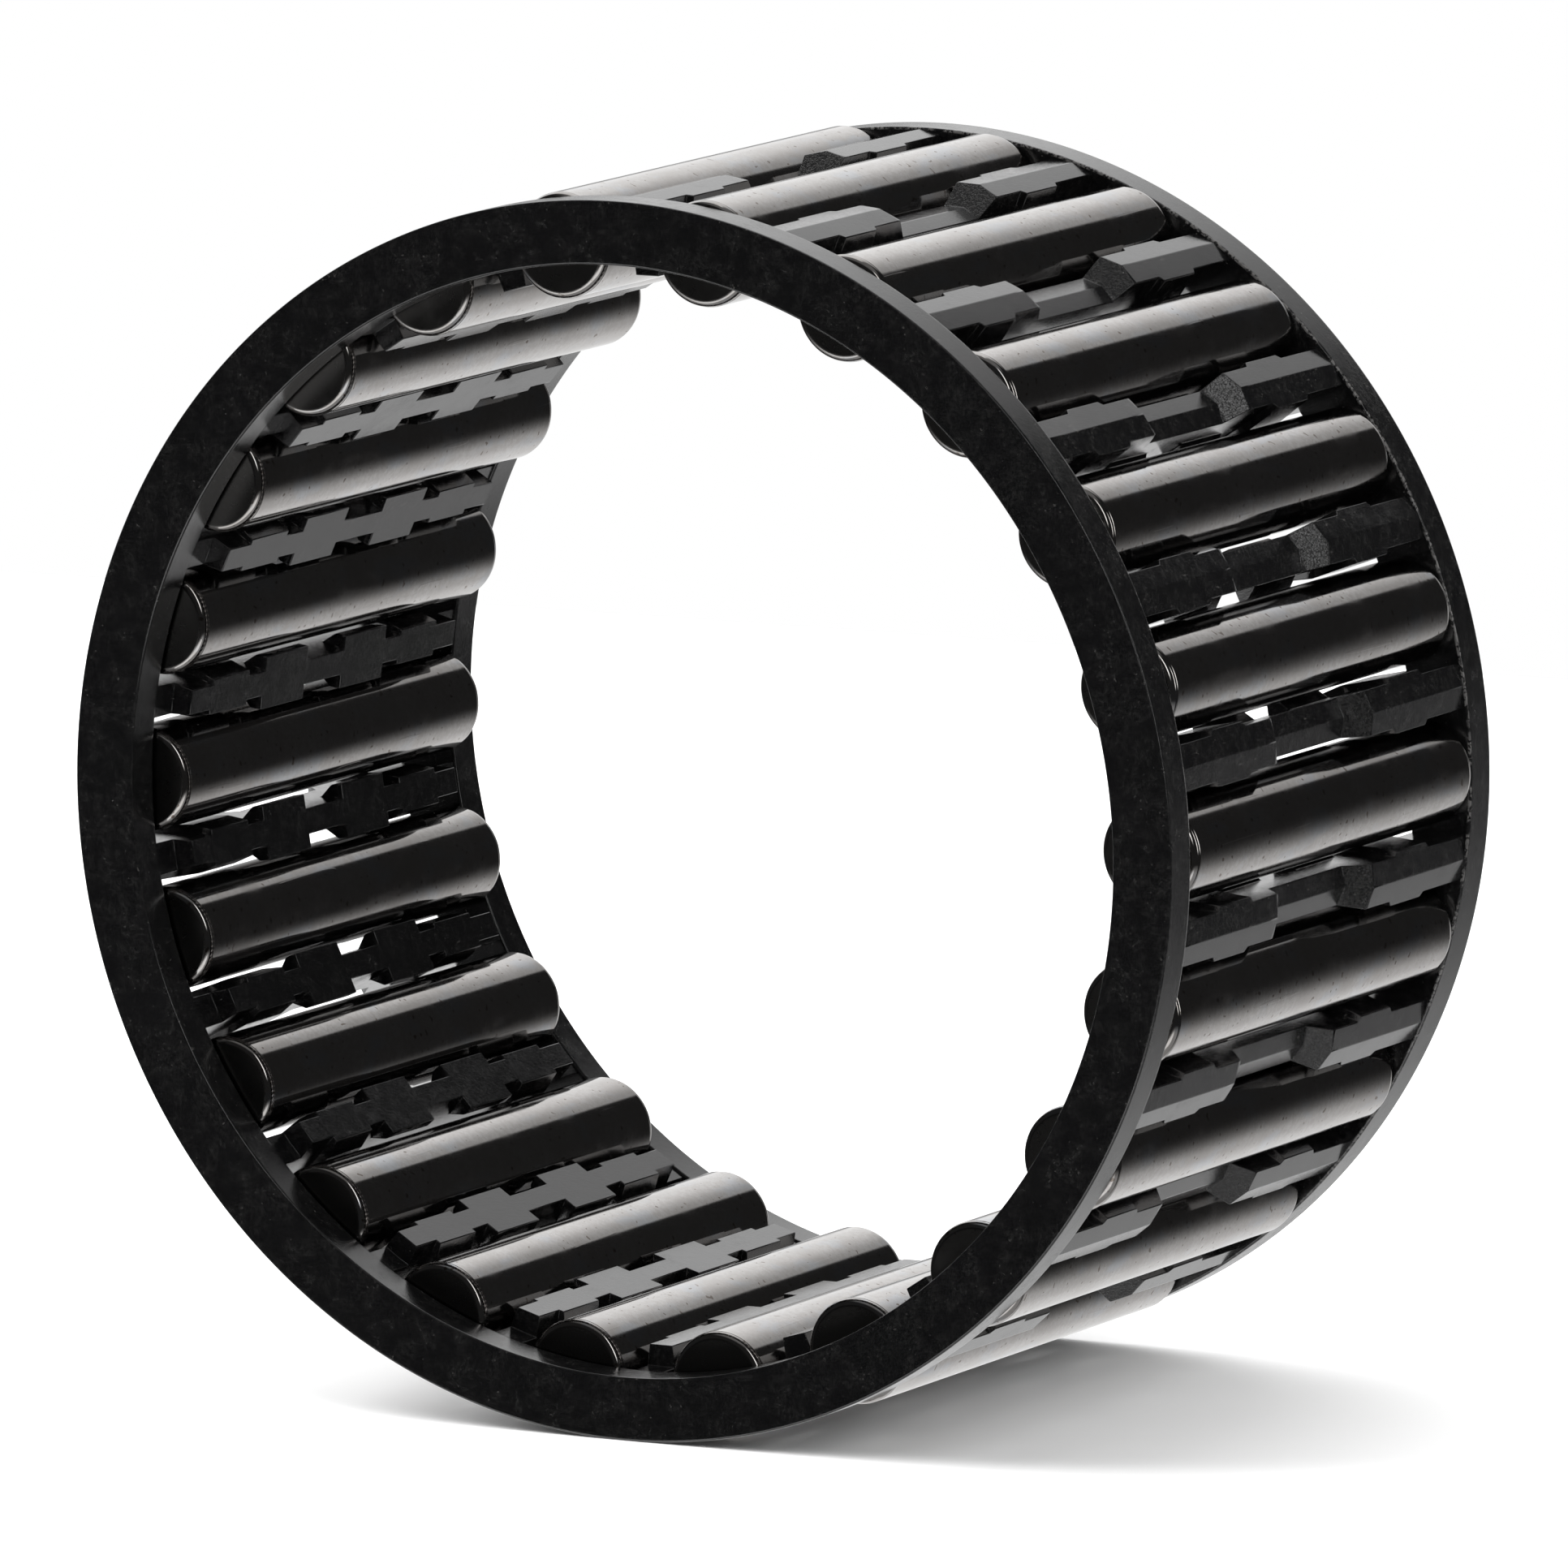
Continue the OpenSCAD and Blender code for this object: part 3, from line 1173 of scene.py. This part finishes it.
@dataclass(frozen=True)
class Surround:
    """The soft light that surrounds the object.

    Brightness depends on direction. A white backdrop stands behind and to the left. Its right-hand edge
    is crisp above the horizon, and soft and further right below it. A dim panel hangs overhead, two tall
    strips stand on the right, the table is pale below, more so towards the front, and the rest of the
    room is dark. Edges are pairs that say where a soft step starts and ends: right and left edges as
    bearings in degrees from +Y towards +X, the others as a part of a direction of length 1.
    """

    white_above: float = 1.22
    white_below: float = 0.95
    overhead_white: float = 0.22
    room_dark: float = 0.022
    table_near: float = 0.42
    table_front: float = 1.0
    crisp_share: float = 0.42
    crisp_right_edge: Pair = (10.0, 12.5)
    soft_right_edge: Pair = (-22.0, 10.0)
    low_share: float = 0.7
    low_right_edge: Pair = (11.0, 31.0)
    low_soft_right_edge: Pair = (-8.0, 14.0)
    left_edge: Pair = (-80.0, -55.0)
    rise_above: Pair = (0.0, 0.15)
    fall_below: Pair = (-0.15, 0.1)
    overhead_edge: Pair = (0.75, 0.95)
    table_edge: Pair = (-0.3, -0.6)
    table_back_edge: Pair = (0.65, 0.45)
    front_foot: Pair = (-0.82, -0.7)
    front_head: Pair = (-0.4, -0.55)
    front_side: Pair = (-0.35, -0.5)
    seen_white: Colour = (1.0, 1.0, 1.0, 1.0)
    strips: tuple[StripLamp, ...] = (
        StripLamp(127.5, 5.5, foot=(0.15, 0.4), head=(0.9, 0.8)),
        StripLamp(70.0, 4.0, foot=(-0.1, 0.1), head=(0.6, 0.4)),
    )

    def backdrop(self, sheet: NodeSheet, bearing: Socket, up: Socket) -> Socket:
        """The backdrop's brightness in a direction.

        The parts above and below the horizon each have a right-hand edge made of two steps, with shares
        that add up to 1, and both end at the left edge.

        Args:
            sheet: The world's sheet.
            bearing: The direction's bearing in degrees.
            up: The direction's upward part.

        Returns:
            The brightness's output.
        """
        above = sheet.add(sheet.ramp(bearing, *self.crisp_right_edge, self.crisp_share, 0.0),
                          sheet.ramp(bearing, *self.soft_right_edge, 1 - self.crisp_share, 0.0))
        below = sheet.add(sheet.ramp(bearing, *self.low_right_edge, self.low_share, 0.0),
                          sheet.ramp(bearing, *self.low_soft_right_edge, 1 - self.low_share, 0.0))
        both = sheet.add(sheet.times(above, sheet.ramp(up, *self.rise_above, 0.0, self.white_above)),
                         sheet.times(below, sheet.ramp(up, *self.fall_below, self.white_below, 0.0)))
        return sheet.times(both, sheet.ramp(bearing, *self.left_edge))

    def table(self, sheet: NodeSheet, north: Socket, up: Socket) -> Socket:
        """The table's brightness in a direction.

        It is the near table's, plus a brighter patch towards the front, and it ends at the back edge.

        Args:
            sheet: The world's sheet.
            north: The direction's part along +Y.
            up: The direction's upward part.

        Returns:
            The brightness's output.
        """
        near = sheet.ramp(up, *self.table_edge, 0.0, self.table_near)
        front = sheet.times(sheet.ramp(up, *self.front_foot, 0.0, self.table_front),
                            sheet.ramp(up, *self.front_head), sheet.ramp(north, *self.front_side))
        return sheet.times(sheet.add(near, front), sheet.ramp(north, *self.table_back_edge))

    def build(self) -> bpy.types.World:
        """Builds the world. It is the brightest of its parts, and plain white where the camera sees it.

        Returns:
            The world.
        """
        world = bpy.data.worlds.new("studio")
        bpy.context.scene.world = world
        world.use_nodes = True
        sheet = NodeSheet(world.node_tree)
        east, north, up = sheet.parts(sheet.node("ShaderNodeTexCoord").outputs["Generated"])
        bearing = sheet.times(sheet.math(MathStep.BEARING, east, north), 180 / math.pi)
        light = sheet.largest(
            self.backdrop(sheet, bearing, up),
            sheet.ramp(up, *self.overhead_edge, 0.0, self.overhead_white),
            self.table(sheet, north, up),
            *(strip.brightness(sheet, bearing, up) for strip in self.strips),
            self.room_dark,
        )
        seen = sheet.node("ShaderNodeLightPath").outputs["Is Camera Ray"]
        background = world.node_tree.nodes["Background"]
        sheet.feed(background.inputs["Color"], sheet.blend(seen, light, self.seen_white))
        background.inputs["Strength"].default_value = 1.0
        return world


@dataclass(frozen=True)
class Softbox:
    """A square area light that polished surfaces don't show. Sizes in metres, power in watts."""

    name: str
    place: Triple
    side: float
    power: float

    def build(self) -> bpy.types.Object:
        """Builds the lamp, facing the object's centre.

        Returns:
            The lamp.
        """
        light = bpy.data.lights.new(self.name, "AREA")
        light.size, light.energy = self.side, self.power
        lamp = bpy.data.objects.new(self.name, light)
        lamp.visible_glossy = False
        back = np.array(self.place) / np.linalg.norm(self.place)
        right = np.cross([0, 0, 1], back) / np.linalg.norm(np.cross([0, 0, 1], back))
        lamp.matrix_world = facing(np.array(self.place), right, np.cross(back, right), back)
        bpy.context.scene.collection.objects.link(lamp)
        return lamp


@dataclass(frozen=True)
class Viewpoint:
    """The camera: a long lens, far off, to the right of the axis and a little above it.

    Angles are in degrees, offsets in ring radii, lens and sensor in millimetres and clip distances in
    metres.
    """

    azimuth: float = 28.91
    elevation: float = 9.19
    turn: float = 0.75
    distance: float = 33.507
    aside: float = -0.00099
    above: float = 0.01423
    lens: float = 475.9
    sensor: float = 36.0
    clip: Pair = (0.1, 20.0)

    def build(self, sizes: BearingSizes) -> bpy.types.Object:
        """Builds the camera.

        Args:
            sizes: The bearing's sizes.

        Returns:
            The camera.
        """
        a, e = math.radians(self.azimuth), math.radians(self.elevation)
        right = np.array([math.cos(a), math.sin(a), 0])
        forward = np.array([-math.sin(a) * math.cos(e), math.cos(a) * math.cos(e), -math.sin(e)])
        above = np.array([-math.sin(a) * math.sin(e), math.cos(a) * math.sin(e), math.cos(e)])
        offset = self.aside * right + self.above * above + self.distance * forward
        axes = np.stack([-offset * sizes.ring_outer_radius, right, above, -forward])
        data = bpy.data.cameras.new("camera")
        data.sensor_width, data.lens = self.sensor, self.lens
        data.clip_start, data.clip_end = self.clip
        camera = bpy.data.objects.new("camera", data)
        camera.matrix_world = facing(*turned_about_axis(axes, -math.radians(self.turn)))
        bpy.context.scene.collection.objects.link(camera)
        bpy.context.scene.camera = camera
        return camera


@dataclass(frozen=True)
class Studio:
    """A pale floor, the surround, three soft lamps and the camera."""

    sizes: BearingSizes
    floor_half_size: float = 0.3
    surround: Surround = Surround()
    softboxes: tuple[Softbox, ...] = (
        Softbox("softbox_top", (-0.1, 0.15, 0.8), 1.0, 8.0),
        Softbox("softbox_left", (-0.75, -0.25, 0.55), 0.8, 15.0),
        Softbox("softbox_right", (0.75, -0.25, 0.55), 0.8, 9.0),
    )
    viewpoint: Viewpoint = Viewpoint()

    def build_floor(self) -> bpy.types.Object:
        """Builds the floor sheet, level with the lowest point of the rings.

        Returns:
            The floor.
        """
        h, z = self.floor_half_size, -self.sizes.ring_outer_radius
        corners = np.array([[-h, -h, z], [h, -h, z], [h, h, z], [-h, h, z]])
        floor = mesh_piece("floor", corners, [[0, 1, 2, 3]], smooth=False)
        floor.data.materials.append(PalePaper().build())
        floor.visible_glossy = False
        return floor

    def build(self) -> None:
        """Builds the floor, the light and the camera, and sets how colours are shown."""
        self.build_floor()
        self.surround.build()
        for softbox in self.softboxes:
            softbox.build()
        self.viewpoint.build(self.sizes)
        bpy.context.scene.view_settings.view_transform = "Standard"


def main() -> None:
    """Builds the studio, the cage and the rollers, and reports each piece."""
    logging.basicConfig(level=logging.INFO, format="%(name)s: %(message)s")
    sizes = BearingSizes.from_frame()
    effects = SharedEffects()
    Studio(sizes).build()
    for piece in Cage(sizes).build(effects) + RollerSet(sizes).build(effects):
        LOG.info("%s: %d faces", piece.name, len(piece.data.polygons))


if __name__ == "__main__":
    main()
